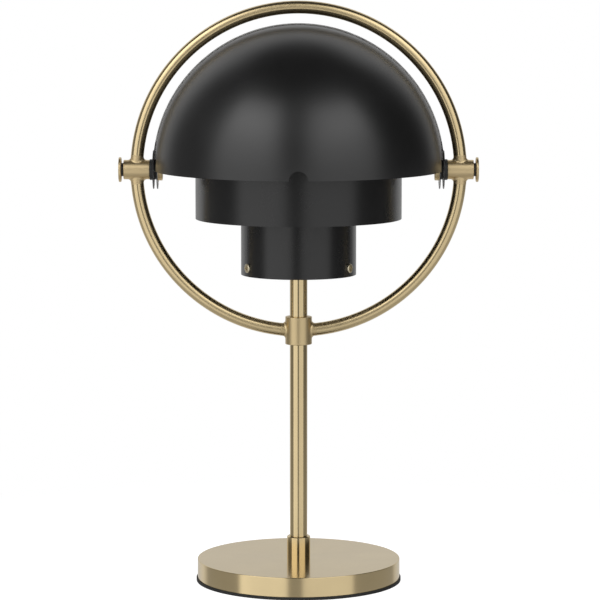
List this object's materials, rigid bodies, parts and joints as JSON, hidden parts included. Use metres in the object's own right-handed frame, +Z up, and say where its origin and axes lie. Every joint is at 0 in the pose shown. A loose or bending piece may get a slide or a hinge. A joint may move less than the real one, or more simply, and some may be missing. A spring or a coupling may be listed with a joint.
{
  "type": "dome shade table lamp",
  "caption": "Table lamp: round base, slim stem, a ring with two quarter-sphere shades that turn on side pivots round two nested open cylinders and a bulb.",
  "frame": {"origin": "centre of the base's underside, on the table", "axes": "+Z up along the stem; -Y is the front; +X runs along the pivots to the right as seen from the front"},
  "size_m": [0.3076, 0.2479, 0.5],
  "materials": {
    "brass_satin": "satin brushed and lacquered",
    "brass_pale": "satin, paler",
    "shade_paint": "satin black outside, satin white inside",
    "cylinder_paint": "satin black outside, satin white inside",
    "pad_rubber": "matt",
    "washer_black": "matt",
    "gland_plastic": "matt",
    "ballast_iron": "cast",
    "zinc_steel": "zinc plated",
    "black_steel": "black oxide",
    "holder_plastic": "moulded",
    "holder_metal": "stamped",
    "cap_metal": "rolled thread",
    "bulb_glass": "frosted"
  },
  "bodies": {
    "stand": {"base_pad": "pad_rubber", "base_cover": "brass_satin", "base_ballast": "ballast_iron", "cord_gland": "gland_plastic", "stem_foot_collar": "brass_satin", "stem_tube": "brass_satin", "base_washer": "zinc_steel", "base_nut": "zinc_steel", "lower_nipple": "zinc_steel", "upper_nipple": "zinc_steel", "bracket_nut": "zinc_steel", "ring_upper_arc": "brass_satin", "ring_lower_left": "brass_satin", "ring_lower_right": "brass_satin", "ring_collar": "brass_satin", "ring_collar_screw": "black_steel", "narrow_cylinder": "cylinder_paint", "wide_cylinder": "cylinder_paint", "cylinder_post_rear": "zinc_steel", "cylinder_post_left": "zinc_steel", "cylinder_post_right": "zinc_steel", "post_outer_screws": "brass_pale", "post_inner_screws": "brass_pale", "bracket_screws": "brass_pale", "stem_bracket": "zinc_steel", "holder_body": "holder_plastic", "holder_thread": "holder_metal", "holder_contact": "holder_metal", "bulb_cap": "cap_metal", "bulb_glass": "bulb_glass", "pivot_barrel_left": "brass_satin", "pivot_screw_left": "brass_satin", "head_washer_left": "washer_black", "ear_washer_left": "washer_black", "ear_spacer_left": "washer_black", "pivot_nut_left": "brass_satin", "pivot_barrel_right": "brass_satin", "pivot_screw_right": "brass_satin", "head_washer_right": "washer_black", "ear_washer_right": "washer_black", "ear_spacer_right": "washer_black", "pivot_nut_right": "brass_satin"},
    "front_shade": {"front_shade": "shade_paint"},
    "rear_shade": {"rear_shade": "shade_paint"}
  },
  "joints": [
    {"name": "front_shade_pivot", "type": "hinge", "parent": "stand", "child": "front_shade", "pos_m": [0, 0, 0.3561], "axis": [1, 0, 0], "range_deg": [-175, 89]},
    {"name": "rear_shade_pivot", "type": "hinge", "parent": "stand", "child": "rear_shade", "pos_m": [0, 0, 0.3561], "axis": [1, 0, 0], "range_deg": [-89, 175]}
  ]
}
